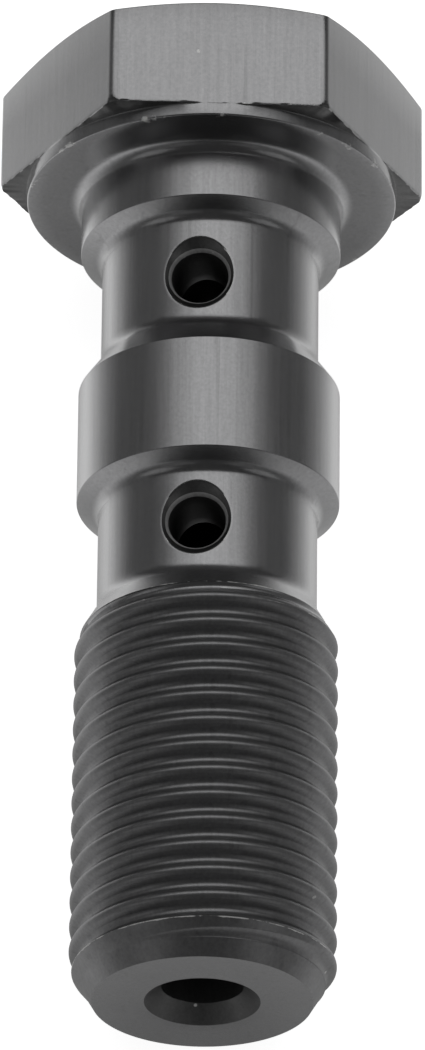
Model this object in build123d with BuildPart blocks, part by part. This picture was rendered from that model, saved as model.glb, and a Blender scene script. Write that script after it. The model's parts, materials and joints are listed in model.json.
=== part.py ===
"""Double banjo bolt, M10 x 1, for two banjo eyes on one bolt.

One turned piece with a milled hexagon head: a threaded tip, two annular fluid grooves, two plain
collars that centre the banjo eyes, a washer face under the head, a blind axial bore and a
countersunk cross port in each groove. The thread is drawn as a plain cylinder over its crests.

Sizes are in millimetres. Positions run along the bolt's axis from the tip's end face. The bolt
lies on its side on the XY plane, as it comes to rest: on the rim of its washer face and on the
first turn of its thread, with its tip towards -Y and one head flat upwards.
"""

import os
from math import atan2, cos, radians, sin, sqrt, tan

from build123d import *

# Threaded tip
thread_diameter = 9.8  # over the crests
thread_length = 14.32
tip_chamfer_length = 1.47
tip_chamfer_angle = 30.0  # from the bolt's axis

# Collars and fluid grooves
collar_diameter = 9.85
upper_collar_length = 2.25
middle_collar_length = 4.55
upper_groove_length = 6.05
lower_groove_length = 5.98
groove_depth = 0.825  # from a collar to the neck
collar_chamfer_angle = 63.0  # a collar's edge towards the tip
chamfer_root_radius = 0.5
collar_shoulder_angle = 35.0  # the middle collar's edge towards the head
thread_shoulder_angle = 30.0  # the thread's edge towards the head
shoulder_root_radius = 1.0

# Washer face and hexagon head
seat_diameter = 14.04
seat_thickness = 0.51
seat_fillet = 0.5
head_across_flats = 14.0
head_height = 5.05  # from the seat to the top face
head_corner_radius = 0.3
head_chamfer_inset = 0.55  # the top face's round edge inside the flats
head_chamfer_angle = 21.0  # from the top face

# Axial bore, drilled blind from the tip
bore_diameter = 3.0
bore_countersink = 0.625  # width of the bevel round its mouth
bore_overrun = 0.5  # full bore past the upper port
drill_point_angle = 118.0
drill_web = 0.4  # flat left in the middle by the drill's chisel edge
countersink_angle = 90.0

# Cross ports, drilled through both walls of each neck
port_diameter = 2.1
port_countersink = 0.455  # width of the bevel, where the neck is highest
upper_port_drop = 2.86  # from the upper collar's edge down to the port's axis
lower_port_drop = 2.54  # from the middle collar's edge down to the port's axis
port_azimuth = -8.1  # round the bolt's axis from the middle of the upper head flat

thread_radius = thread_diameter / 2
collar_radius = collar_diameter / 2
neck_radius = collar_radius - groove_depth
tip_radius = thread_radius - tip_chamfer_length * tan(radians(tip_chamfer_angle))
seat_radius = seat_diameter / 2
flat_radius = head_across_flats / 2
corner_reach = head_across_flats / sqrt(3)
top_edge_radius = flat_radius - head_chamfer_inset

# Stations along the axis
middle_collar_start = thread_length + lower_groove_length
upper_groove_start = middle_collar_start + middle_collar_length
upper_collar_start = upper_groove_start + upper_groove_length
seat_position = upper_collar_start + upper_collar_length
hexagon_start = seat_position + seat_thickness
head_top = seat_position + head_height
upper_port_position = upper_collar_start - upper_port_drop
lower_port_position = middle_collar_start - lower_port_drop
bore_depth = upper_port_position + port_diameter / 2 + bore_overrun

# The bolt leans on its tip and on the washer face or the hexagon, whichever is lower.
rest_tilt = max(
    atan2(seat_radius - thread_radius, seat_position - tip_chamfer_length),
    atan2(flat_radius - thread_radius, hexagon_start - tip_chamfer_length),
)
tip_height = thread_radius * cos(rest_tilt) - tip_chamfer_length * sin(rest_tilt)
tip_reach = tip_radius * sin(rest_tilt)
head_reach = head_top * cos(rest_tilt) + top_edge_radius * sin(rest_tilt)

# Across the bolt at its tip, Z along its axis towards the head and -Y to the upper head flat
bolt_plane = Plane(
    origin=(0, (tip_reach - head_reach) / 2, tip_height),
    x_dir=(1, 0, 0),
    z_dir=(0, cos(rest_tilt), sin(rest_tilt)),
)
bolt_axis = Axis(bolt_plane.origin, bolt_plane.z_dir)
# Half section through the axis: X is the radius and Y the position
section_plane = Plane(bolt_plane.origin, x_dir=bolt_plane.x_dir, z_dir=-bolt_plane.y_dir)


def shoulder_length(height, angle):
    """Axial length of a conical shoulder, its angle measured from the axis."""
    return height / tan(radians(angle))


def groove_corners(start, end, start_radius, shoulder_angle):
    """Section corners of one groove, from its tip side to its head side."""
    return [
        (start_radius, start),
        (neck_radius, start + shoulder_length(start_radius - neck_radius, shoulder_angle)),
        (neck_radius, end - shoulder_length(groove_depth, collar_chamfer_angle)),
        (collar_radius, end),
    ]


def port_plane(position, azimuth):
    """Plane that touches the collars' outer cylinder above a port, facing outwards."""
    outwards = bolt_plane.x_dir * sin(radians(azimuth)) - bolt_plane.y_dir * cos(radians(azimuth))
    return Plane(bolt_plane.offset(position).origin + outwards * collar_radius, z_dir=outwards)


with BuildPart() as banjo_bolt:
    # Turned shank and washer face
    with BuildSketch(section_plane) as shank:
        with BuildLine():
            Polyline(
                (0, 0),
                (tip_radius, 0),
                (thread_radius, tip_chamfer_length),
                *groove_corners(thread_length, middle_collar_start, thread_radius, thread_shoulder_angle),
                *groove_corners(
                    upper_groove_start, upper_collar_start, collar_radius, collar_shoulder_angle
                ),
                (collar_radius, seat_position),
                (seat_radius, seat_position),
                (seat_radius, hexagon_start),
                (0, hexagon_start),
                close=True,
            )
        make_face()
        neck_corners = shank.vertices().filter_by(lambda corner: abs(corner.X - neck_radius) < 1e-6)
        lower_shoulder, lower_chamfer, upper_shoulder, upper_chamfer = neck_corners.sort_by(Axis.Y)
        fillet([lower_shoulder, upper_shoulder], shoulder_root_radius)
        fillet([lower_chamfer, upper_chamfer], chamfer_root_radius)
        fillet(shank.vertices().sort_by_distance((collar_radius, seat_position))[0], seat_fillet)
    revolve(axis=bolt_axis)

    # Hexagon head, its corners trimmed by a shallow cone
    with BuildSketch(bolt_plane.offset(hexagon_start)) as hexagon:
        RegularPolygon(flat_radius, 6, major_radius=False)
        fillet(hexagon.vertices(), head_corner_radius)
    extrude(amount=head_top - hexagon_start)
    chamfer_drop = (corner_reach - top_edge_radius) * tan(radians(head_chamfer_angle))
    with BuildSketch(section_plane):
        with BuildLine():
            Polyline(
                (top_edge_radius, head_top),
                (corner_reach, head_top),
                (corner_reach, head_top - chamfer_drop),
                close=True,
            )
        make_face()
    revolve(axis=bolt_axis, mode=Mode.SUBTRACT)

    # Axial bore with its bevelled mouth and drill point
    bore_radius = bore_diameter / 2
    bore_end = bore_depth + shoulder_length(bore_radius - drill_web / 2, drill_point_angle / 2)
    with BuildSketch(section_plane):
        with BuildLine():
            Polyline(
                (0, 0),
                (bore_radius + bore_countersink, 0),
                (bore_radius, shoulder_length(bore_countersink, countersink_angle / 2)),
                (bore_radius, bore_depth),
                (drill_web / 2, bore_end),
                (0, bore_end),
                close=True,
            )
        make_face()
    revolve(axis=bolt_axis, mode=Mode.SUBTRACT)

    # Cross ports, drilled from both sides of each neck; the bevel is drawn up to the collars' radius
    port_radius = port_diameter / 2
    bevel_growth = (collar_radius - neck_radius) * tan(radians(countersink_angle / 2))
    for port_position in (lower_port_position, upper_port_position):
        for azimuth in (port_azimuth, port_azimuth + 180):
            with Locations(port_plane(port_position, azimuth)):
                CounterSinkHole(
                    radius=port_radius,
                    counter_sink_radius=port_radius + port_countersink + bevel_growth,
                    depth=collar_radius,
                    counter_sink_angle=countersink_angle,
                )

os.makedirs("parts", exist_ok=True)
banjo_bolt.part.label = "banjo_bolt"
export_step(banjo_bolt.part, "parts/banjo_bolt.step")
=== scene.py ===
"""Double banjo bolt, M10 x 1, lying on its side on a pale studio floor.

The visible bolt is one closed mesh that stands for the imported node: a real helical thread, fluid
grooves with rounded roots, countersunk cross ports that open into the axial bore, and a hexagon
head over a washer face. It is built in bolt coordinates, in millimetres: an azimuth round the axis
from the middle of the upper head flat, a radius, and a position along the axis from the tip.
"""

import json
from math import acos, asin, atan2, cos, degrees, hypot, pi, radians, sin, sqrt, tan

import bmesh
import bpy
from mathutils import Matrix, Vector, noise

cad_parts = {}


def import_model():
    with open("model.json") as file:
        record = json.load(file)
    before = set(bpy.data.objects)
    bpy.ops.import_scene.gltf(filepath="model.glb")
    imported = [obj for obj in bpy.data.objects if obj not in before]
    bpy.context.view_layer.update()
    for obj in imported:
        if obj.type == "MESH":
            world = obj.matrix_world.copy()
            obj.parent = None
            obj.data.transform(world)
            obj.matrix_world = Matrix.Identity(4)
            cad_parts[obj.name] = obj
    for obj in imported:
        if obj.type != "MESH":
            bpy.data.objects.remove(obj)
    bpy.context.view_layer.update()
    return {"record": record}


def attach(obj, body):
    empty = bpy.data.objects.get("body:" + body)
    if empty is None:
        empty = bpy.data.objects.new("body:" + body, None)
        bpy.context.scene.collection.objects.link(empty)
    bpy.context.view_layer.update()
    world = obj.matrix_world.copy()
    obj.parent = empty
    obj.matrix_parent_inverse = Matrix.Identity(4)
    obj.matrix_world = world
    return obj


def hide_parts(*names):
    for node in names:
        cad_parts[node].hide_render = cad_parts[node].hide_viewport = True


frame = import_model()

MM = 0.001

# ---------------------------------------------------------------- sizes, in millimetres
# Thread
THREAD_RADIUS = 4.9
THREAD_LENGTH = 14.32
END_SLOPE = tan(radians(30))  # of the tip's chamfer, and of the thread's edge towards the head
TIP_CHAMFER_LENGTH = 1.47
TIP_RADIUS = THREAD_RADIUS - TIP_CHAMFER_LENGTH * END_SLOPE
PITCH = 1.0
FLANK_ANGLE = radians(30)  # from a plane across the bolt
FIRST_GROOVE = 0.65  # position of one groove's middle at azimuth 0
THREAD_DEPTH = 0.39
THREAD_ROUND = (PITCH * cos(FLANK_ANGLE) - THREAD_DEPTH) / 2  # of its crest and its root alike
ROOT_RADIUS = THREAD_RADIUS - THREAD_DEPTH
THREAD_ZONE = (0.08, 15.4)  # between these positions the rows follow the helix
GROOVE_NUMBERS = range(-4, 18)  # grooves past either end cut nothing
CREST_LIFT = 0.11  # rolling lifts the first crest off the tip's chamfer
LIFT_SPAN = (0.65, 0.95)
ROOT_SINK = 0.11  # and presses the first root into it
SINK_SPAN = (0.6, 1.05)
EDGE_SOFT = 0.02
NICK_WIDTH = 0.07  # of the worn band beside a thread edge

# Collars and grooves
COLLAR_RADIUS = 4.925
NECK_RADIUS = 4.1
GROOVE_DEPTH = COLLAR_RADIUS - NECK_RADIUS
CHAMFER_ANGLE = 63  # of a collar's edge towards the tip, from the axis
CHAMFER_ROOT = 0.5
COLLAR_SHOULDER_ANGLE = 35
THREAD_SHOULDER_ANGLE = 30
SHOULDER_ROOT = 1.0
MIDDLE_COLLAR = (20.3, 24.85)
UPPER_COLLAR = (30.9, 33.15)
EDGE_BREAK = 0.05

# Washer face and hexagon head
SEAT_RADIUS = 7.02
SEAT_FILLET = 0.5
SEAT_SOFT = 0.06  # radius of the washer face's rim
HEXAGON_START = 33.66
SEAT_SIDE_END = HEXAGON_START - 0.06
HEAD_TOP = 38.2
FLAT_RADIUS = 7.0
CORNER_ROUND = 0.3
TOP_RADIUS = 6.45
TOP_SLOPE = tan(radians(21))
LOW_TRIM_RADIUS = 7.97  # the corners are trimmed a little at the hexagon's lower edge
LOW_TRIM_SLOPE = tan(radians(18))
TRIM_SOFT = 0.03
LOW_EDGE = 0.06  # height of the hexagon's rounded lower edge
UNDERSIDE_STEP = (-0.025, 0.06)  # limits of the step from the washer face's side to the edge
BURR = 0.035  # unevenness of the hexagon's lower edge
BURR_WAVES = ((2.1, 1.0), (6.3, 0.7))  # scale per millimetre, and share
BURR_RADIUS = 8.0

# Axial bore and cross ports
BORE_RADIUS = 1.5
BORE_MOUTH_RADIUS = 2.125
BORE_DEPTH = 29.59
DRILL_WEB_RADIUS = 0.2
DRILL_POINT_ANGLE = 118
PORT_RADIUS = 1.05
PORT_MOUTH_RADIUS = 1.505
PORT_AZIMUTH = radians(-8.1)
LOWER_PORT = 17.76
UPPER_PORT = 28.04
CONE_BASE = NECK_RADIUS - PORT_MOUTH_RADIUS  # height of the bevel's apex above the bolt's axis
MOUTH_SOFT = 0.05
MOUTH_SINK = 0.009
WALL_SOFT = 0.13
LIP_INSET = 0.199 * WALL_SOFT  # of the rounded lip from its sharp corner
LIP_GROWTH = 0.924 * LIP_INSET
LIP_SINK = 1.307 * LIP_INSET
PORT_END_SOFT = 0.03  # where a port opens into the bore

# ---------------------------------------------------------------- mesh resolution
SHANK_COLUMNS = 200
PATCH_COLUMNS = 26
HALF_PATCH = PATCH_COLUMNS // 2
PATCH_ROWS = 16
BORE_COLUMNS = 3 * PATCH_COLUMNS
OUTER_PATCH = 1.58  # half height of the patch round a port's mouth
INNER_PATCH = 1.35
OUTER_STEPS = 5  # rows from a patch's border to the port
INNER_STEPS = 4
WALL_SHARES = (0.25, 0.5, 0.75, 0.95)  # of a port's wall, from its lip to the bore
PLAIN_BORE_ROWS = ((4.0, 8.0, 12.0), (21.0, 24.0))  # below the lower port, and between the two
ARC_STEP = radians(11)
END_FACE_ROWS = (3.1, 2.75)  # radii where the end face passes from the shank's columns to the bore's
SEAT_ROWS = (6.2, 6.4)  # and where the washer face passes from them to the head's
HEAD_STEP = 0.75  # degrees
FLAT_ROWS = (0.14, 0.25, 0.38, 0.52, 0.68, 1.2, 2.4)  # heights above the hexagon's lower edge
TOP_FACE_ROWS = (TOP_RADIUS - 0.06, 5.0, 3.2, 1.4)

# ---------------------------------------------------------------- bolt coordinates
thread_mount = next(m for m in frame["record"]["mounts"] if m["name"] == "thread")
AXIS = -Vector(thread_mount["axis"]).normalized()
ACROSS = Vector((1, 0, 0))
UP = ACROSS.cross(AXIS)
TIP = Vector(thread_mount["pos_m"]) - AXIS * (thread_mount["dims"]["length_mm"] / 2 + TIP_CHAMFER_LENGTH) * MM


def world(point):
    """Place in metres of a point given across, up and along the bolt in millimetres."""
    return TIP + (ACROSS * point[0] + UP * point[1] + AXIS * point[2]) * MM


def polar(azimuth, radius, position):
    return (radius * sin(azimuth), radius * cos(azimuth), position)


def clamp(value, low, high):
    return min(max(value, low), high)


def rise(value, span):
    """Share of a span that a value has passed, from 0 to 1."""
    return clamp((value - span[0]) / (span[1] - span[0]), 0, 1)


class Skin:
    """Points and faces of one closed surface; `wear` says how worn each point is."""

    def __init__(self):
        self.points = []
        self.wear = []
        self.faces = []

    def row(self, points, wear=0.0):
        first = len(self.points)
        self.points.extend(points)
        self.wear.extend([wear] * len(points) if isinstance(wear, (int, float)) else wear)
        return list(range(first, len(self.points)))

    def strip(self, a, b):
        """Quads between two open rows of the same length."""
        for i in range(len(a) - 1):
            self.faces.append((a[i], a[i + 1], b[i + 1], b[i]))

    def band(self, a, b, skip=()):
        """Quads between two closed rows; `skip` holds the columns left out."""
        n = len(a)
        for i in range(n):
            if i not in skip:
                k = (i + 1) % n
                self.faces.append((a[i], a[k], b[k], b[i]))

    def bands(self, rows):
        for a, b in zip(rows, rows[1:]):
            self.band(a, b)

    def bands_round_ports(self, rows, section, port_rows, columns):
        """Bands between the rows of a section, with two opposite patches left open at each port."""
        skip = {(m + i) % columns for m in (0, columns // 2) for i in range(-HALF_PATCH, HALF_PATCH)}
        for i in range(len(rows) - 1):
            middle = (section[i][1] + section[i + 1][1]) / 2
            at_port = any(positions[0] < middle < positions[-1] for positions in port_rows)
            self.band(rows[i], rows[i + 1], skip if at_port else ())

    def zip(self, a, angles_a, b, angles_b):
        """Triangles between two closed rows whose points lie at different azimuths."""
        i = j = 0
        while i < len(a) or j < len(b):
            if following(angles_a, i) <= following(angles_b, j):
                self.faces.append((a[i % len(a)], a[(i + 1) % len(a)], b[j % len(b)]))
                i += 1
            else:
                self.faces.append((a[i % len(a)], b[(j + 1) % len(b)], b[j % len(b)]))
                j += 1

    def fan(self, ring, centre):
        hub = self.row([centre])[0]
        for i in range(len(ring)):
            self.faces.append((ring[i], ring[(i + 1) % len(ring)], hub))


def following(angles, i):
    """The angle after a closed row's place i, or a very large one once the row is used up."""
    if i + 1 < len(angles):
        return angles[i + 1]
    return angles[0] + 2 * pi if i < len(angles) else 1e9


def rounded(corners, step=ARC_STEP):
    """Section points (radius, position) of straight runs; each corner has its rounding's radius."""
    out = [corners[0][:2]]
    for (r0, z0, _), (r, z, radius), (r1, z1, _) in zip(corners, corners[1:], corners[2:]):
        if radius == 0:
            out.append((r, z))
            continue
        corner, before, after = Vector((r, z)), Vector((r0 - r, z0 - z)), Vector((r1 - r, z1 - z))
        half = before.angle(after) / 2
        centre = corner + (before.normalized() + after.normalized()).normalized() * radius / sin(half)
        start = corner + before.normalized() * radius / tan(half) - centre
        end = corner + after.normalized() * radius / tan(half) - centre
        turn = pi - 2 * half
        count = max(2, round(turn / step))
        for i in range(count + 1):
            f = i / count
            p = centre + (start * sin((1 - f) * turn) + end * sin(f * turn)) / sin(turn)
            out.append((p.x, p.y))
    out.append(corners[-1][:2])
    return out


skin = Skin()
shank_angles = [PORT_AZIMUTH + 2 * pi * j / SHANK_COLUMNS for j in range(SHANK_COLUMNS)]
bore_angles = [PORT_AZIMUTH + 2 * pi * j / BORE_COLUMNS for j in range(BORE_COLUMNS)]


def turned_row(angles, radius, position):
    return skin.row([polar(t, radius, position) for t in angles])


# ---------------------------------------------------------------- thread
def blank_radius(z):
    """Outermost radius of the threaded end, with its chamfer, its shoulder and the lifted first crest."""
    lift = CREST_LIFT * rise(z, LIFT_SPAN)
    return min(THREAD_RADIUS, TIP_RADIUS + z * END_SLOPE + lift,
               THREAD_RADIUS - (z - THREAD_LENGTH) * END_SLOPE)


def thread_radius(d, z):
    """Radius of the thread at an axial distance d from the middle of its groove."""
    flank_start = THREAD_ROUND * cos(FLANK_ANGLE)
    sink = ROOT_SINK * (1 - rise(z, SINK_SPAN))
    from_crest = PITCH / 2 - d
    if d < flank_start:
        return ROOT_RADIUS + THREAD_ROUND - sqrt(THREAD_ROUND ** 2 - d * d) - sink
    if from_crest < flank_start:
        return THREAD_RADIUS - THREAD_ROUND + sqrt(THREAD_ROUND ** 2 - from_crest ** 2) - sink
    return ROOT_RADIUS + THREAD_ROUND / 2 + (d - flank_start) / tan(FLANK_ANGLE) - sink


SEARCH_STEPS = 20
BISECTIONS = 24


def groove_sides(middle):
    """Axial offsets from a groove's middle at which its two flanks leave the blank."""
    def depth(d):
        return blank_radius(middle + d) - thread_radius(abs(d), middle + d)

    steps = (0, *range(-SEARCH_STEPS, SEARCH_STEPS + 1))
    deepest = max((PITCH / 2 * i / SEARCH_STEPS for i in steps), key=depth)
    if depth(deepest) <= 0:
        return deepest, deepest
    sides = []
    for inside, outside in ((deepest, -PITCH / 2), (deepest, PITCH / 2)):
        for _ in range(BISECTIONS):
            d = (inside + outside) / 2
            if depth(d) > 0:
                inside = d
            else:
                outside = d
        sides.append(inside)
    return sides


NICKED_GROOVE = (1.15, 2.15)  # its edge towards the tip is nicked, where the first whole crest lies
NICKED = 2.2
SHOULDER_WORN = 2.0  # of the last groove's edges, at the shoulder towards the head
SHOULDER_BAND = 0.6
LIGHTLY_WORN = 0.5


def worn_sides(middle):
    """Wear of a groove's edges, towards the tip and towards the head."""
    if middle > THREAD_LENGTH - SHOULDER_BAND:
        return SHOULDER_WORN, SHOULDER_WORN
    return (NICKED if NICKED_GROOVE[0] < middle < NICKED_GROOVE[1] else LIGHTLY_WORN), LIGHTLY_WORN


ARC_OFFSETS = [THREAD_ROUND * sin(radians(turn)) for turn in (20, 40, 60)]
HALF_PITCH = ARC_OFFSETS + [PITCH / 2 - d for d in reversed(ARC_OFFSETS)] + [PITCH / 2]
GROOVE_OFFSETS = [-d for d in reversed(HALF_PITCH)] + [0.0] + HALF_PITCH
GROOVE_ROWS = len(GROOVE_OFFSETS) + 2
LAND_ROWS = 6
ROWS_PER_TURN = GROOVE_ROWS + LAND_ROWS


def groove_rows(middle, left, right):
    """Rows (radius, position, wear) across one groove, from one edge to the other."""
    worn_left, worn_right = worn_sides(middle)
    soft = min(EDGE_SOFT, (right - left) / 2)
    rows = [(blank_radius(middle + left), middle + left, worn_left)]
    for offset in GROOVE_OFFSETS:
        d = clamp(offset, left + soft, right - soft)
        rows.append((min(thread_radius(abs(d), middle + d), blank_radius(middle + d)), middle + d, 0.0))
    rows.append((blank_radius(middle + right), middle + right, worn_right))
    return rows


def land_rows(low, high, worn_low, worn_high):
    """Rows (radius, position, wear) of the land between two grooves, worn along its edges."""
    middle = (low + high) / 2
    nick_low = min(low + NICK_WIDTH, middle)
    nick_high = max(high - NICK_WIDTH, middle)
    places = [
        (min(low + EDGE_SOFT, middle), 0.9 * worn_low),
        (nick_low, 0.0),
        (clamp(TIP_CHAMFER_LENGTH, nick_low, nick_high), 0.0),
        (clamp(THREAD_LENGTH, nick_low, nick_high), 0.0),
        (nick_high, 0.0),
        (max(high - EDGE_SOFT, middle), 0.9 * worn_high),
    ]
    return [(blank_radius(z), z, wear) for z, wear in places]


def thread_section(t):
    """Rows (radius, position, wear) of one azimuth, from the tip upwards."""
    middles = [FIRST_GROOVE + k * PITCH + t / (2 * pi) * PITCH for k in GROOVE_NUMBERS]
    sides = [groove_sides(middle) for middle in middles]
    rows = []
    for i, middle in enumerate(middles[:-1]):
        left, right = sides[i]
        low = middle + right
        high = max(low, middles[i + 1] + sides[i + 1][0])
        rows += groove_rows(middle, left, right)
        rows += land_rows(low, high, worn_sides(middle)[1], worn_sides(middles[i + 1])[0])
    start, end = THREAD_ZONE
    section = []
    for r, z, wear in rows:
        if start < z < end:
            section.append((r, z, wear))
        else:
            section.append((blank_radius(clamp(z, start, end)), clamp(z, start, end), 0.0))
    return section


def add_thread():
    """Adds the thread, and returns the rings at its tip end and its head end."""
    columns = []
    for t in shank_angles:
        section = thread_section(t)
        columns.append(skin.row([polar(t, r, z) for r, z, _ in section], [wear for _, _, wear in section]))
    for a, b in zip(columns, columns[1:]):
        skin.strip(a, b)
    # Once round, the last column meets the first one a turn higher.
    first = columns[0]
    top = len(first) - 1
    skin.strip(columns[-1], [first[min(i + ROWS_PER_TURN, top)] for i in range(len(first))])
    return [column[0] for column in columns], [column[-1] for column in columns]


# ---------------------------------------------------------------- shank
def shoulder(height, angle):
    """Axial length of a conical shoulder, its angle in degrees from the axis."""
    return height / tan(radians(angle))


def patch_rows(middle, half):
    return [middle - half + 2 * half * i / PATCH_ROWS for i in range(PATCH_ROWS + 1)]


outer_port_rows = [patch_rows(position, OUTER_PATCH) for position in (LOWER_PORT, UPPER_PORT)]
inner_port_rows = [patch_rows(position, INNER_PATCH) for position in (LOWER_PORT, UPPER_PORT)]


def shank_section():
    """Section from the thread's head end to the washer face."""
    thread_shoulder = THREAD_LENGTH + shoulder(THREAD_RADIUS - NECK_RADIUS, THREAD_SHOULDER_ANGLE)
    collar_shoulder = MIDDLE_COLLAR[1] + shoulder(GROOVE_DEPTH, COLLAR_SHOULDER_ANGLE)
    chamfer_length = shoulder(GROOVE_DEPTH, CHAMFER_ANGLE)
    return rounded([
        (blank_radius(THREAD_ZONE[1]), THREAD_ZONE[1], 0),
        (NECK_RADIUS, thread_shoulder, SHOULDER_ROOT),
        *((NECK_RADIUS, z, 0) for z in outer_port_rows[0]),
        (NECK_RADIUS, MIDDLE_COLLAR[0] - chamfer_length, CHAMFER_ROOT),
        (COLLAR_RADIUS, MIDDLE_COLLAR[0], EDGE_BREAK),
        (COLLAR_RADIUS, MIDDLE_COLLAR[1], EDGE_BREAK),
        (NECK_RADIUS, collar_shoulder, SHOULDER_ROOT),
        *((NECK_RADIUS, z, 0) for z in outer_port_rows[1]),
        (NECK_RADIUS, UPPER_COLLAR[0] - chamfer_length, CHAMFER_ROOT),
        (COLLAR_RADIUS, UPPER_COLLAR[0], EDGE_BREAK),
        (COLLAR_RADIUS, UPPER_COLLAR[1], SEAT_FILLET),
        (SEAT_ROWS[0], UPPER_COLLAR[1], 0),
    ])


# ---------------------------------------------------------------- axial bore
def bore_section():
    """Section from the end face, in through the mouth's bevel, to the drill point."""
    point_length = shoulder(BORE_RADIUS - DRILL_WEB_RADIUS, DRILL_POINT_ANGLE / 2)
    return rounded([
        (END_FACE_ROWS[1], 0, 0),
        (BORE_MOUTH_RADIUS, 0, EDGE_BREAK),
        (BORE_RADIUS, BORE_MOUTH_RADIUS - BORE_RADIUS, EDGE_BREAK),
        *((BORE_RADIUS, z, 0) for z in PLAIN_BORE_ROWS[0]),
        *((BORE_RADIUS, z, 0) for z in inner_port_rows[0]),
        *((BORE_RADIUS, z, 0) for z in PLAIN_BORE_ROWS[1]),
        *((BORE_RADIUS, z, 0) for z in inner_port_rows[1]),
        (BORE_RADIUS, BORE_DEPTH, 0),
        (DRILL_WEB_RADIUS, BORE_DEPTH + point_length, 0),
    ])


# ---------------------------------------------------------------- cross ports
def patch_border(rows, middle, count):
    """Border of a patch, once round: along its upper side, down, back and up again."""
    columns = [(middle + i) % count for i in range(-HALF_PATCH, HALF_PATCH + 1)]
    return ([rows[-1][c] for c in columns] + [row[columns[-1]] for row in rows[-2:0:-1]]
            + [rows[0][c] for c in reversed(columns)] + [row[columns[0]] for row in rows[1:-1]])


def unwrap(angles):
    out = [angles[0]]
    for a in angles[1:]:
        while a < out[-1] - 1e-9:
            a += 2 * pi
        out.append(a)
    return out


def port_frame(azimuth, position):
    """Function from a polar place round the port's axis and a height along it to a point."""
    def place(angle, rho, height):
        s = rho * sin(angle)
        across = height * sin(azimuth) + s * cos(azimuth)
        up = height * cos(azimuth) - s * sin(azimuth)
        return (across, up, position + rho * cos(angle))
    return place


def border_place(index, azimuth, position):
    """Azimuth from the port's axis, and axial distance, of a border point."""
    x, y, z = skin.points[index]
    a = atan2(x, y) - azimuth
    return (a + pi) % (2 * pi) - pi, z - position


def spread(border, azimuth, position, radius, circle, steps):
    """Rows on a cylinder, from a patch's border in towards a circle of the given radii."""
    places = [border_place(i, azimuth, position) for i in border]
    angles = unwrap([atan2(radius * sin(a), w) for a, w in places])
    rows = [border]
    for step in range(1, steps + 1):
        f = 1 - (1 - step / steps) ** 1.5
        row = []
        for (a, w), angle in zip(places, angles):
            rho = circle(angle)
            a1, w1 = asin(rho * sin(angle) / radius), rho * cos(angle)
            row.append(polar(azimuth + a + (a1 - a) * f, radius, position + w + (w1 - w) * f))
        rows.append(skin.row(row))
    return rows, angles


def mouth_radius(angle):
    """Radius at which a port's bevel meets the neck."""
    s2 = sin(angle) ** 2
    b, c = 2 * CONE_BASE, CONE_BASE ** 2 - NECK_RADIUS ** 2
    return (-b + sqrt(b * b - 4 * (1 + s2) * c)) / (2 * (1 + s2))


def neck_height(angle):
    """Height of the neck above the bolt's axis at a port's mouth."""
    return sqrt(NECK_RADIUS ** 2 - (mouth_radius(angle) * sin(angle)) ** 2)


def bore_height(angle):
    """Height above the bolt's axis at which a port's wall meets the bore."""
    return sqrt(BORE_RADIUS ** 2 - (PORT_RADIUS * sin(angle)) ** 2)


def on_cone(rho, sink=0.0):
    return rho, CONE_BASE + rho - sink


def port(azimuth, position, outer_border, inner_border):
    """Adds one port, from a patch in the neck through its bevel and wall to a patch in the bore."""
    outer, angles = spread(outer_border, azimuth, position, NECK_RADIUS,
                           lambda a: mouth_radius(a) + MOUTH_SOFT, OUTER_STEPS)
    inner, inner_angles = spread(inner_border, azimuth, position, BORE_RADIUS,
                                 lambda a: PORT_RADIUS + PORT_END_SOFT, INNER_STEPS)
    shift = round((angles[0] - inner_angles[0]) / (2 * pi)) * 2 * pi
    inner_angles = [a + shift for a in inner_angles]
    place = port_frame(azimuth, position)

    def ring(profile, blend=0.0, wear=0.0):
        points = []
        for a, b in zip(angles, inner_angles):
            angle = a + (b - a) * blend
            points.append(place(angle, *profile(angle)))
        return skin.row(points, wear)

    top_height = CONE_BASE + PORT_RADIUS - WALL_SOFT
    rows = [
        ring(lambda a: (mouth_radius(a), neck_height(a) - MOUTH_SINK), wear=1.0),
        ring(lambda a: on_cone(mouth_radius(a) - MOUTH_SOFT), wear=0.4),
        ring(lambda a: on_cone((PORT_RADIUS + mouth_radius(a)) / 2)),
        ring(lambda a: on_cone(PORT_RADIUS + WALL_SOFT), wear=0.4),
        # The lip's rows are worn, bare in nicks; the lighter ring along the lip itself is a painted
        # highlight, from its own material.
        ring(lambda a: on_cone(PORT_RADIUS + LIP_GROWTH, LIP_SINK), wear=1.0),
        ring(lambda a: (PORT_RADIUS, top_height), wear=0.4),
    ]
    for f in WALL_SHARES:
        rows.append(ring(lambda a: (PORT_RADIUS, top_height + (bore_height(a) - top_height) * f), f))
    skin.bands(outer + rows + inner[::-1])


def rows_at(rows, section, radius, positions):
    """The rows that a section has on a cylinder at the given positions."""
    return [rows[section.index((radius, z))] for z in positions]


def add_ports(shank_rows, shank, bore_rows, bore):
    for i, position in enumerate((LOWER_PORT, UPPER_PORT)):
        outer = rows_at(shank_rows, shank, NECK_RADIUS, outer_port_rows[i])
        inner = rows_at(bore_rows, bore, BORE_RADIUS, inner_port_rows[i])
        for side in (0, 1):
            port(
                PORT_AZIMUTH + side * pi,
                position,
                patch_border(outer, side * SHANK_COLUMNS // 2, SHANK_COLUMNS),
                patch_border(inner, side * BORE_COLUMNS // 2, BORE_COLUMNS),
            )


# ---------------------------------------------------------------- washer face and hexagon head
CORNER_OFFSETS = [0.0, 0.36, 0.72, 1.075, 1.45, 1.9, 2.4, 3.0]  # degrees from a corner's middle
CORNER_REACH = 3.1  # no even column is nearer than this to a corner's middle
COLUMN_GAP = 0.3
CORNER_CENTRE = (FLAT_RADIUS - CORNER_ROUND) / cos(radians(30))


def apart(a, b):
    """Angle between two directions, in degrees."""
    return abs((a - b + 180) % 360 - 180)


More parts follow.
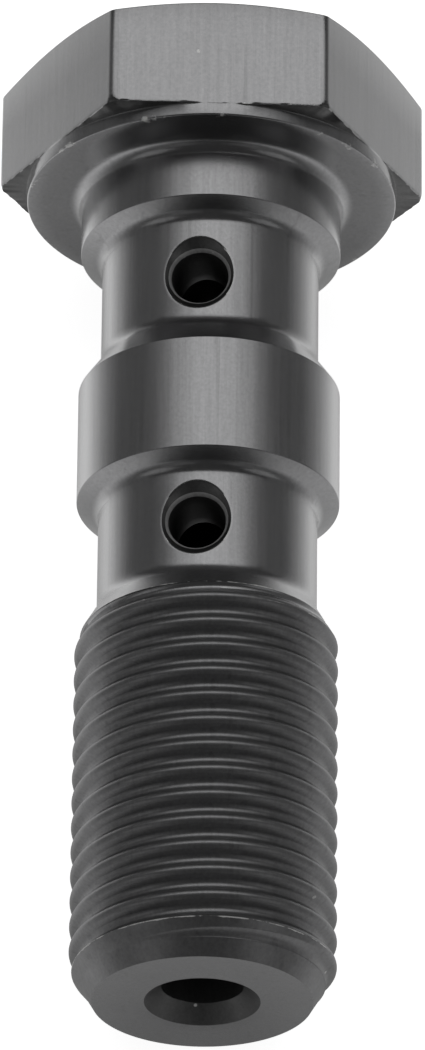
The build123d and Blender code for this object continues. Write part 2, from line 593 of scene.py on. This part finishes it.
def head_columns():
    """Azimuths of the head's columns: even over the flats, and close together at the corners."""
    crossing = degrees(acos(FLAT_RADIUS / SEAT_RADIUS))  # where a flat crosses the washer face's rim
    found = set()
    for flat in range(0, 360, 60):
        special = [flat + 30 + side * offset for offset in CORNER_OFFSETS for side in (-1, 1)]
        special += [flat - crossing, flat + crossing]
        even = [flat - 30 + i * HEAD_STEP for i in range(int(60 / HEAD_STEP))]
        kept = [d for d in even if all(apart(d, s) > COLUMN_GAP for s in special)
                and apart(d, flat + 30) > CORNER_REACH and apart(d, flat - 30) > CORNER_REACH]
        found.update(round(d % 360, 5) for d in special + kept)
    return [radians(d) for d in sorted(found)]


head_angles = head_columns()


def hexagon_radius(t):
    """Outline of the hexagon, its corners rounded."""
    off = (degrees(t) + 30) % 60 - 30  # from the nearest flat's middle
    from_corner = radians(30 - abs(off))
    s = CORNER_CENTRE * sin(from_corner)
    if from_corner < atan2(CORNER_ROUND * 0.5, CORNER_CENTRE + CORNER_ROUND * cos(radians(30))):
        return CORNER_CENTRE * cos(from_corner) + sqrt(CORNER_ROUND ** 2 - s * s)
    return FLAT_RADIUS / cos(radians(off))


def trim_radius(z):
    """Radius of the cone that trims the hexagon's lower corners."""
    return LOW_TRIM_RADIUS + (z - HEXAGON_START) * LOW_TRIM_SLOPE


def trimmed_radius(t, z):
    """Outline of the hexagon with its corners trimmed near the lower edge."""
    full = hexagon_radius(t)
    over = full - trim_radius(z)
    if over <= -TRIM_SOFT:
        return full
    if over >= TRIM_SOFT:
        return trim_radius(z)
    return full - (over + TRIM_SOFT) ** 2 / (4 * TRIM_SOFT)


def head_row(place, wear=0.0):
    return skin.row([polar(t, *place(t)) for t in head_angles], wear)


def low_edge(t):
    """Small irregularity of the hexagon's lower edge."""
    p = Vector(polar(t, BURR_RADIUS, 0.0))
    return BURR * sum(share * noise.noise(p * scale) for scale, share in BURR_WAVES)


def below(t, share):
    """Step from the washer face's side towards the hexagon's outline, under the hexagon."""
    gap = trimmed_radius(t, HEXAGON_START) - SEAT_RADIUS
    return clamp(gap / 2, *UNDERSIDE_STEP) * share


def chamfer_height(r):
    return HEAD_TOP - (r - TOP_RADIUS) * TOP_SLOPE


def seat_rows():
    edge = rounded([
        (SEAT_ROWS[1], UPPER_COLLAR[1], 0),
        (SEAT_RADIUS, UPPER_COLLAR[1], SEAT_SOFT),
        (SEAT_RADIUS, SEAT_SIDE_END, 0),
    ], radians(30))
    last = len(edge) - 1
    return [head_row(lambda t: (r, z), 1.0 if 0 < i < last else 0.0) for i, (r, z) in enumerate(edge)]


def hexagon_rows():
    """Rows of the hexagon, from its underside over its flats and top chamfer to the top face."""
    start = HEXAGON_START
    rows = [
        head_row(lambda t: (SEAT_RADIUS + below(t, 0.3), start - 0.018)),
        head_row(lambda t: (SEAT_RADIUS + below(t, 1.0), start)),
        head_row(lambda t: (trimmed_radius(t, start) - below(t, 0.8), start), 0.5),
        head_row(lambda t: (trimmed_radius(t, start) - below(t, 0.2), start + 0.012 + low_edge(t)), 1.0),
        head_row(lambda t: (trimmed_radius(t, start + LOW_EDGE), start + LOW_EDGE + low_edge(t)), 0.6),
    ]
    for z in FLAT_ROWS:
        rows.append(head_row(lambda t: (trimmed_radius(t, start + z), start + z)))
    for drop, inset, wear in ((0.05, 0.0, 0.5), (0.012, 0.012, 1.0), (0.0, 0.055, 0.5)):
        rows.append(head_row(
            lambda t: (hexagon_radius(t) - inset, chamfer_height(hexagon_radius(t) - inset) - drop), wear))
    for r, drop, wear in ((TOP_RADIUS + 0.06, 0.0, 0.5), (TOP_RADIUS, 0.004, 1.0)):
        rows.append(head_row(lambda t: (r, chamfer_height(r) - drop), wear))
    for r in TOP_FACE_ROWS:
        rows.append(head_row(lambda t: (r, HEAD_TOP)))
    return rows


# ---------------------------------------------------------------- the whole skin
def add_shank_and_bore():
    """Adds all that is turned or drilled, and returns the last row of the washer face."""
    tip_ring, thread_top_ring = add_thread()
    end_rows = [turned_row(shank_angles, r, 0) for r in (END_FACE_ROWS[0], TIP_RADIUS)]
    skin.bands(end_rows + [tip_ring])

    shank = shank_section()
    shank_rows = [thread_top_ring] + [turned_row(shank_angles, r, z) for r, z in shank[1:]]
    skin.bands_round_ports(shank_rows, shank, outer_port_rows, SHANK_COLUMNS)

    bore = bore_section()
    bore_rows = [turned_row(bore_angles, r, z) for r, z in bore]
    skin.bands_round_ports(bore_rows, bore, inner_port_rows, BORE_COLUMNS)
    skin.fan(bore_rows[-1], (0, 0, bore[-1][1]))
    skin.zip(end_rows[0], shank_angles, bore_rows[0], bore_angles)

    add_ports(shank_rows, shank, bore_rows, bore)
    return shank_rows[-1]


def add_head(seat_ring):
    rows = seat_rows() + hexagon_rows()
    skin.bands(rows)
    skin.fan(rows[-1], (0, 0, HEAD_TOP))
    skin.zip(seat_ring, [t - PORT_AZIMUTH for t in shank_angles],
             rows[0], [t - PORT_AZIMUTH for t in head_angles])


def merged(skin):
    """Places, wear and faces of the skin, with coincident points joined and flattened faces dropped."""
    first_at, index, places, wear = {}, [], [], []
    for p, w in zip(skin.points, skin.wear):
        key = (round(p[0], 5), round(p[1], 5), round(p[2], 5))
        if key not in first_at:
            first_at[key] = len(places)
            places.append(world(p))
            wear.append(w)
        index.append(first_at[key])
    faces = []
    for face in skin.faces:
        corners = list(dict.fromkeys(index[i] for i in face))
        if len(corners) > 2:
            faces.append(corners)
    return places, wear, faces


def build(name, skin):
    places, wear, faces = merged(skin)
    mesh = bpy.data.meshes.new(name)
    mesh.from_pydata(places, [], faces)
    mesh.attributes.new("wear", "FLOAT", "POINT").data.foreach_set("value", wear)
    bm = bmesh.new()
    bm.from_mesh(mesh)
    bmesh.ops.dissolve_degenerate(bm, dist=1e-9, edges=bm.edges)
    bmesh.ops.recalc_face_normals(bm, faces=bm.faces)
    bm.to_mesh(mesh)
    bm.free()
    mesh.shade_smooth()
    mesh.set_sharp_from_angle(angle=radians(40))
    piece = bpy.data.objects.new(name, mesh)
    bpy.context.scene.collection.objects.link(piece)
    return piece


add_head(add_shank_and_bore())
bolt = build("bolt_body", skin)
weighted = bolt.modifiers.new("weighted normals", "WEIGHTED_NORMAL")
weighted.keep_sharp = True
weighted.weight = 50


# ---------------------------------------------------------------- materials
class Tree:
    """Short calls for the nodes of one new material."""

    def __init__(self, name):
        self.material = bpy.data.materials.new(name)
        self.material.use_nodes = True
        self.nodes, self.links = self.material.node_tree.nodes, self.material.node_tree.links
        self.shader = self.nodes["Principled BSDF"].inputs

    def set(self, socket, value):
        """Gives a socket a number, a colour or another node's output."""
        if isinstance(value, bpy.types.NodeSocket):
            self.links.new(value, socket)
        else:
            socket.default_value = value

    def math(self, operation, *values):
        node = self.nodes.new("ShaderNodeMath")
        node.operation = operation
        for socket, value in zip(node.inputs, values):
            self.set(socket, value)
        return node.outputs[0]

    def ramp(self, value, low, high, start=0.0, end=1.0):
        """Smooth step of a value, from one level to another."""
        node = self.nodes.new("ShaderNodeMapRange")
        node.interpolation_type = "SMOOTHSTEP"
        self.set(node.inputs["Value"], value)
        self.set(node.inputs["From Min"], low)
        self.set(node.inputs["From Max"], high)
        self.set(node.inputs["To Min"], start)
        self.set(node.inputs["To Max"], end)
        return node.outputs["Result"]

    def object_place(self):
        return self.nodes.new("ShaderNodeTexCoord").outputs["Object"]

    def scaled(self, place, scale, turn=(0, 0, 0)):
        node = self.nodes.new("ShaderNodeMapping")
        self.set(node.inputs["Vector"], place)
        node.inputs["Rotation"].default_value = turn
        node.inputs["Scale"].default_value = scale
        return node.outputs[0]

    def noise(self, place, scale, detail=2.0, roughness=0.5):
        node = self.nodes.new("ShaderNodeTexNoise")
        self.set(node.inputs["Vector"], self.scaled(place, scale))
        node.inputs["Scale"].default_value = 1.0
        node.inputs["Detail"].default_value = detail
        node.inputs["Roughness"].default_value = roughness
        return node.outputs["Fac"]

    def mix(self, factor, a, b):
        node = self.nodes.new("ShaderNodeMix")
        node.data_type = "RGBA"
        self.set(node.inputs["Factor"], factor)
        self.set(node.inputs[6], a)
        self.set(node.inputs[7], b)
        return node.outputs[2]


BARE_STEEL = (0.62, 0.62, 0.61, 1)
BARE_METALLIC_SHARE = 0.25  # bare spots are dull beside the finish
BARE_ROUGHNESS = 0.2  # more than the finish has
STREAK_HEIGHT = 1.5e-6  # metres
# Noise scales per millimetre: across the bolt, along its axis, and upwards
STREAKS = (6.0, 0.2, 6.0)
FINE_STREAKS = (24.0, 0.7, 24.0)
DRAW_LINES = (3.0, 0.05, 3.0)
PATCHES = (0.5, 0.35, 0.5)
GRAIN = (9.0, 9.0, 9.0)
CHIPS = (1.3, 1.3, 1.3)
SPECK_CELLS = 0.45
TONE_BASE = 0.44
DRAW_LINE_LEVELS = (0.64, 0.7)
DRAW_LINE_SHARE = -0.13  # they are darker than the finish round them
CHIP_LEVELS = (0.72, 0.82)
CHIP_HELP = 0.14  # of wear, towards a chip
WORN_LEVELS = (0.45, 0.95)
SPECK_CHANCE = 0.55  # cells above this level hold a speck
SMALLEST_SPECK = 0.014
SPECK_GROWTH = 0.03
SPECK_CORE = 0.5  # share of a speck that is wholly bare
ROUGHNESS_SPREAD = 0.08
BUMP_GRAIN = 0.6
COAT_ROUGHNESS = 0.2


def bare_spots(tree, place):
    """Where the finish is gone: nicks along worn edges, and a few small specks."""
    wear = tree.nodes.new("ShaderNodeAttribute")
    wear.attribute_name = "wear"
    worn = wear.outputs["Fac"]
    uneven = tree.noise(place, CHIPS, detail=5.0, roughness=0.65)
    chips = tree.math("MULTIPLY_ADD", worn, CHIP_HELP, uneven)
    nicks = tree.math("MULTIPLY", tree.ramp(worn, *WORN_LEVELS), tree.ramp(chips, *CHIP_LEVELS))

    cells = tree.nodes.new("ShaderNodeTexVoronoi")
    tree.set(cells.inputs["Vector"], place)
    cells.inputs["Scale"].default_value = SPECK_CELLS
    chance = tree.nodes.new("ShaderNodeSeparateColor")
    tree.set(chance.inputs[0], cells.outputs["Color"])
    picked = tree.math("GREATER_THAN", chance.outputs[0], SPECK_CHANCE)
    size = tree.math("MULTIPLY_ADD", chance.outputs[1], SPECK_GROWTH, SMALLEST_SPECK)
    core = tree.math("MULTIPLY", size, SPECK_CORE)
    speck = tree.ramp(cells.outputs["Distance"], core, size, 1.0, 0.0)
    return tree.math("MAXIMUM", nicks, tree.math("MULTIPLY", speck, picked))


def make_steel(name, tint, metallic, roughness, coat):
    """Black-finished steel: fine lines along the axis, an uneven finish and a few bare spots. For some
    surfaces its tint also carries painted shade, and for the ports' lips a painted highlight.
    """
    tree = Tree(name)
    tree.set(tree.shader["Coat Weight"], coat)
    tree.set(tree.shader["Coat Roughness"], COAT_ROUGHNESS)

    along_axis = tree.scaled(tree.object_place(), (1, 1, 1), (-asin(AXIS.z), 0, 0))
    place = tree.scaled(along_axis, (1 / MM, 1 / MM, 1 / MM))
    streaks = tree.noise(place, STREAKS, detail=3.0, roughness=0.6)
    fine_streaks = tree.noise(place, FINE_STREAKS, detail=1.0)
    patches = tree.noise(place, PATCHES, detail=3.0)
    grain = tree.noise(place, GRAIN)
    draw_lines = tree.ramp(tree.noise(place, DRAW_LINES, detail=1.0), *DRAW_LINE_LEVELS)
    tone = tree.math("MULTIPLY_ADD", draw_lines, DRAW_LINE_SHARE, TONE_BASE)
    for layer, share in ((streaks, 0.4), (patches, 0.2), (fine_streaks, 0.14), (grain, 0.4)):
        tone = tree.math("MULTIPLY_ADD", layer, share, tone)
    finish = tree.nodes.new("ShaderNodeVectorMath")
    finish.operation = "SCALE"
    finish.inputs[0].default_value = tint
    tree.set(finish.inputs["Scale"], tone)

    bare = bare_spots(tree, place)
    tree.set(tree.shader["Base Color"], tree.mix(bare, finish.outputs[0], BARE_STEEL))
    dulled = (BARE_METALLIC_SHARE - 1) * metallic
    tree.set(tree.shader["Metallic"], tree.math("MULTIPLY_ADD", bare, dulled, metallic))
    rough = tree.math("MULTIPLY_ADD", patches, ROUGHNESS_SPREAD, roughness - ROUGHNESS_SPREAD / 2)
    tree.set(tree.shader["Roughness"], tree.math("MULTIPLY_ADD", bare, BARE_ROUGHNESS, rough))

    bump = tree.nodes.new("ShaderNodeBump")
    bump.inputs["Distance"].default_value = STREAK_HEIGHT
    tree.set(bump.inputs["Height"], tree.math("MULTIPLY_ADD", grain, BUMP_GRAIN, streaks))
    tree.set(tree.shader["Normal"], bump.outputs[0])
    return tree.material


FINISHES_AND_PAINTED_LIGHT = {
    # surface: (material, tint, metallic, roughness, coat)
    "turned": ("black_finished_steel", (0.17, 0.17, 0.173), 0.94, 0.25, 1.0),
    "thread": ("black_finished_thread", (0.155, 0.155, 0.157), 0.84, 0.38, 0.0),
    # bore: the bore and the ports' walls are darker than the turned steel, painted shade inside the holes
    "bore": ("bore_painted_shade", (0.08, 0.08, 0.08), 0.7, 0.4, 0.0),
    # lip: a lighter, duller ring at each port's lip, a painted highlight where the rounded lip would catch
    # the light
    "lip": ("lip_painted_highlight", (0.34, 0.34, 0.34), 0.35, 0.5, 0.0),
    # bevel: the ports' bevels, the hexagon's underside and its trimmed lower corners are darker, painted
    # shade in the hollows and under the head
    "bevel": ("bevel_and_underside_painted_shade", (0.09, 0.09, 0.09), 0.9, 0.35, 0.0),
}
UNDERSIDE = (HEXAGON_START - 0.02, HEXAGON_START + 0.005)
TRIM_END = HEAD_TOP - 3
SURFACE_SLACK = 0.02  # between the middle of a face and the edge of its surface
THREAD_SURFACE_START = 3.9  # radius outside which the threaded end is seen
THREAD_SURFACE_END = THREAD_LENGTH + 0.3


def surface_at(across, up, position):
    """Kind of surface of a face, from the place of its middle in bolt coordinates."""
    radius = hypot(across, up)
    if position > UNDERSIDE[0]:
        trimmed = hexagon_radius(atan2(across, up)) > trim_radius(position) and position < TRIM_END
        # The hexagon's underside and its trimmed lower corners get painted shade.
        in_painted_shade = (position < UNDERSIDE[1] or trimmed) and radius > SEAT_RADIUS + SURFACE_SLACK / 2
        return "bevel" if in_painted_shade else "turned"
    if position > UPPER_COLLAR[1] - 1e-3 or position < 1e-4:
        return "turned"
    aside = across * cos(PORT_AZIMUTH) - up * sin(PORT_AZIMUTH)
    from_port = min(hypot(aside, position - middle) for middle in (LOWER_PORT, UPPER_PORT))
    # Inside the bore and the ports' walls the tint is darker: painted shade in the holes.
    if radius < BORE_MOUTH_RADIUS or (from_port < PORT_RADIUS + SURFACE_SLACK and radius < NECK_RADIUS):
        return "bore"
    # A port's bevel is darkened with painted shade, and the ring at its lip is lightened with a painted
    # highlight.
    if from_port < PORT_MOUTH_RADIUS and radius < NECK_RADIUS - SURFACE_SLACK:
        return "lip" if from_port < PORT_RADIUS + WALL_SOFT else "bevel"
    return "thread" if position < THREAD_SURFACE_END and radius > THREAD_SURFACE_START else "turned"


for finish in FINISHES_AND_PAINTED_LIGHT.values():
    bolt.data.materials.append(make_steel(*finish))
surfaces = list(FINISHES_AND_PAINTED_LIGHT)
for face in bolt.data.polygons:
    offset = (face.center - TIP) / MM
    face.material_index = surfaces.index(surface_at(offset.dot(ACROSS), offset.dot(UP), offset.dot(AXIS)))
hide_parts("banjo_bolt")
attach(bolt, "root")

# ---------------------------------------------------------------- floor
FLOOR_SIDE = 3.0
FLOOR_GREY = (0.8, 0.8, 0.8, 1)
CAMERA_GLOW = 0.88
MIRRORED_GLOW = 1.25  # as the steel mirrors the floor; it is never brighter than white
GLOW_CENTRE = (-4.0, 4.0)
GLOW_REACH = (20.0, 30.0)
SHADE_LENGTH = 19.0  # half length of the strip under the bolt that lies in its shade
SHADE_WIDTHS = (5.5, 13.0)
SHADE = 0.25


def mirrored_floor(tree):
    """The floor's glow in the steel: it fades with distance, and lies in the bolt's shade near it."""
    place = tree.nodes.new("ShaderNodeSeparateXYZ")
    tree.set(place.inputs[0], tree.object_place())
    x, y = place.outputs["X"], place.outputs["Y"]
    squares = []
    for coordinate, centre, reach in zip((x, y), GLOW_CENTRE, GLOW_REACH):
        share = tree.math("DIVIDE", tree.math("SUBTRACT", coordinate, centre * MM), reach * MM)
        squares.append(tree.math("MULTIPLY", share, share))
    fall_off = tree.math("ADD", tree.math("ADD", *squares), 1.0)
    open_glow = tree.math("MINIMUM", tree.math("DIVIDE", MIRRORED_GLOW, fall_off), 1.0)

    past_end = tree.math("SUBTRACT", tree.math("ABSOLUTE", y), SHADE_LENGTH * MM)
    past_end = tree.math("MAXIMUM", past_end, 0.0)
    square = tree.math("MULTIPLY_ADD", past_end, past_end, tree.math("MULTIPLY", x, x))
    from_bolt = tree.math("SQRT", square)
    shade = tree.ramp(from_bolt, SHADE_WIDTHS[0] * MM, SHADE_WIDTHS[1] * MM, SHADE, 1.0)
    return tree.math("MULTIPLY", open_glow, shade)


def floor_material():
    tree = Tree("pale_floor")
    tree.set(tree.shader["Base Color"], FLOOR_GREY)
    tree.set(tree.shader["Roughness"], 0.9)
    tree.set(tree.shader["Specular IOR Level"], 0.0)
    tree.set(tree.shader["Emission Color"], (1, 1, 1, 1))
    ray = tree.nodes.new("ShaderNodeLightPath").outputs
    seen = tree.math("MULTIPLY", ray["Is Camera Ray"], CAMERA_GLOW)
    glow = tree.math("MULTIPLY_ADD", ray["Is Glossy Ray"], mirrored_floor(tree), seen)
    tree.set(tree.shader["Emission Strength"], glow)
    return tree.material


def make_floor():
    mesh = bpy.data.meshes.new("floor")
    half = FLOOR_SIDE / 2
    corners = [(-half, -half, 0), (half, -half, 0), (half, half, 0), (-half, half, 0)]
    mesh.from_pydata(corners, [], [(0, 1, 2, 3)])
    floor = bpy.data.objects.new("floor", mesh)
    bpy.context.scene.collection.objects.link(floor)
    floor.data.materials.append(floor_material())
    return floor


make_floor()

# ---------------------------------------------------------------- light
WORLD_STRENGTH = 0.09
KEY_ELEVATION = 63
KEY_AZIMUTH = 2.5
KEY_MIDDLE = (0.64, 0.7)
KEY_RADIANCE = 1.5
KEY_ENDS = (  # strips that fall off towards its two ends: inner edge, outer edge, radiance
    (0.32, 0.6, 1.08),
    (0.6, 0.85, 0.5),
    (0.85, 1.25, 0.22),
)
SIDE_PANELS = (  # on both sides alike: name, elevation, azimuth, size, radiance
    ("side panel", 15, 90, (1.7, 0.6), 0.13),
    ("side panel front", 15, 150, (0.6, 0.6), 0.15),
    ("side panel tip", 30, 120, (0.5, 0.5), 0.4),
)


def area_light(name, elevation, azimuth, size, radiance, shift=0.0):
    """Rectangular lamp one metre away that faces the bolt; azimuth is from +Y towards +X, in degrees."""
    e, a = radians(elevation), radians(azimuth)
    direction = Vector((sin(a) * cos(e), cos(a) * cos(e), sin(e)))
    turn = direction.to_track_quat("Z", "Y")
    light = bpy.data.lights.new(name, "AREA")
    light.shape = "RECTANGLE"
    light.size, light.size_y = size
    light.energy = radiance * pi * size[0] * size[1]
    lamp = bpy.data.objects.new(name, light)
    lamp.location = direction + turn @ Vector((shift, 0, 0))
    lamp.rotation_euler = turn.to_euler()
    bpy.context.scene.collection.objects.link(lamp)


def light_studio():
    studio = bpy.data.worlds.new("studio")
    bpy.context.scene.world = studio
    studio.use_nodes = True
    background = studio.node_tree.nodes["Background"].inputs
    background["Color"].default_value = (1, 1, 1, 1)
    background["Strength"].default_value = WORLD_STRENGTH

    area_light("key middle", KEY_ELEVATION, KEY_AZIMUTH, KEY_MIDDLE, KEY_RADIANCE)
    for inner, outer, radiance in KEY_ENDS:
        for side in (-1, 1):
            size = (outer - inner, KEY_MIDDLE[1])
            area_light("key end", KEY_ELEVATION, KEY_AZIMUTH, size, radiance, side * (inner + outer) / 2)
    for side in (-1, 1):
        for name, elevation, azimuth, size, radiance in SIDE_PANELS:
            area_light(name, elevation, side * azimuth, size, radiance)


light_studio()

# ---------------------------------------------------------------- camera
# Given in a frame with the camera's azimuth along -Y and the bolt's axis along Z
VIEW_AZIMUTH = radians(2.1)  # of the camera, from the middle of the upper flat
CAMERA_PLACE = (1.11, -294.44, -130.49)  # millimetres from the tip
CAMERA_YAW = radians(-0.181)
CAMERA_PITCH = radians(26.993)
CAMERA_ROLL = radians(0.643)
SENSOR_HEIGHT = 36
LENS = 302.95
CLIP = (0.01, 10)  # metres


def from_view_frame(vector):
    x, y, z = vector
    c, s = cos(VIEW_AZIMUTH), sin(VIEW_AZIMUTH)
    return ACROSS * (x * c + y * s) + UP * (-y * c + x * s) + AXIS * z


def camera_rotation():
    yaw, pitch, roll = CAMERA_YAW, CAMERA_PITCH, CAMERA_ROLL
    forward = Vector((sin(yaw) * cos(pitch), cos(yaw) * cos(pitch), sin(pitch)))
    level = Vector((cos(yaw), -sin(yaw), 0))
    upright = level.cross(forward)
    right = level * cos(roll) + upright * sin(roll)
    upwards = upright * cos(roll) - level * sin(roll)
    basis = [from_view_frame(right), from_view_frame(upwards), -from_view_frame(forward)]
    return Matrix([[b[i] for b in basis] for i in range(3)])


def place_camera():
    data = bpy.data.cameras.new("camera")
    data.sensor_fit = "VERTICAL"
    data.sensor_height = SENSOR_HEIGHT
    data.lens = LENS
    data.clip_start, data.clip_end = CLIP
    camera = bpy.data.objects.new("camera", data)
    bpy.context.scene.collection.objects.link(camera)
    bpy.context.scene.camera = camera
    place = TIP + from_view_frame(CAMERA_PLACE) * MM
    camera.matrix_world = Matrix.Translation(place) @ camera_rotation().to_4x4()


place_camera()
bpy.context.scene.view_settings.view_transform = "Standard"
